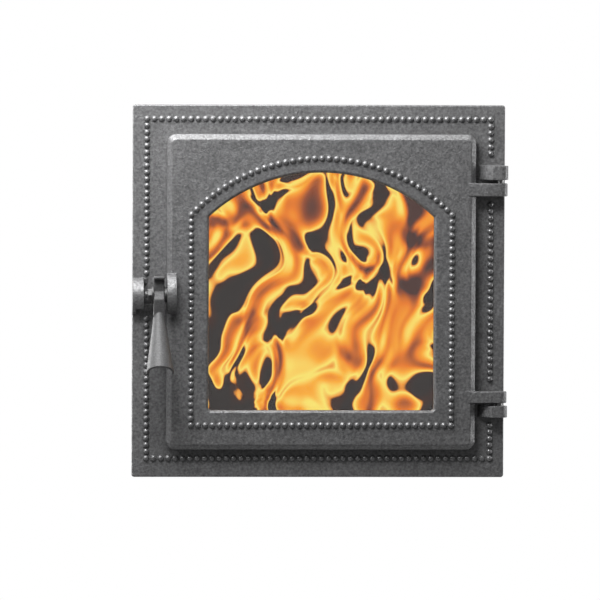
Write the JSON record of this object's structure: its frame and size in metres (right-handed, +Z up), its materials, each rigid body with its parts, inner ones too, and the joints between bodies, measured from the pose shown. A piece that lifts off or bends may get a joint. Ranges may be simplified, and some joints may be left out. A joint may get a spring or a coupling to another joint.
{
  "type": "fireplace door",
  "caption": "Square cast-iron door for a masonry fireplace: beaded frame with rear collar, hinged leaf with arched glass window, and drop-handle latch.",
  "frame": {"origin": "centre of the frame, on the wall face that the back of its flange lies on", "axes": "+X to the viewer's right, towards the hinges, +Y into the wall, +Z up"},
  "size_m": [0.413, 0.1327, 0.41],
  "materials": {
    "frame_iron": "fine-grained cast iron under matt anthracite heat-proof paint",
    "leaf_iron": "fine-grained cast iron under matt anthracite heat-proof paint",
    "handle_iron": "smooth cast iron under matt anthracite heat-proof paint",
    "window_glass": "clear heat-resistant glass",
    "seal_fibre": "pale woven fibre tape",
    "seal_rope": "graphited braided fibre rope",
    "clip_steel": "zinc-plated steel",
    "pin_steel": "plain turned steel",
    "latch_steel": "turned steel, dark"
  },
  "bodies": {
    "frame_body": {"frame": "frame_iron", "upper_hinge_pin": "pin_steel", "lower_hinge_pin": "pin_steel"},
    "leaf_body": {"leaf": "leaf_iron", "window_gasket": "seal_fibre", "window_glass": "window_glass", "door_rope": "seal_rope", "glass_clip_left_lower": "clip_steel", "glass_clip_left_upper": "clip_steel", "glass_clip_right_lower": "clip_steel", "glass_clip_right_upper": "clip_steel", "glass_clip_foot_left": "clip_steel", "glass_clip_foot_right": "clip_steel", "glass_clip_crown_left": "clip_steel", "glass_clip_crown_right": "clip_steel", "clip_pads": "seal_fibre", "clip_screws": "clip_steel", "handle_bolt": "latch_steel", "handle_spacer": "latch_steel", "handle_washer": "latch_steel", "handle_nut": "latch_steel"},
    "handle_body": {"handle": "handle_iron"}
  },
  "joints": [
    {"name": "leaf_swing", "type": "hinge", "parent": "frame_body", "child": "leaf_body", "pos_m": [0.1995, -0.016, 0], "axis": [0, 0, 1], "range_deg": [0, 110]},
    {"name": "handle_lift", "type": "hinge", "parent": "leaf_body", "child": "handle_body", "pos_m": [-0.1764, -0.03, -0.003], "axis": [-1, 0, 0], "range_deg": [0, 80]}
  ]
}
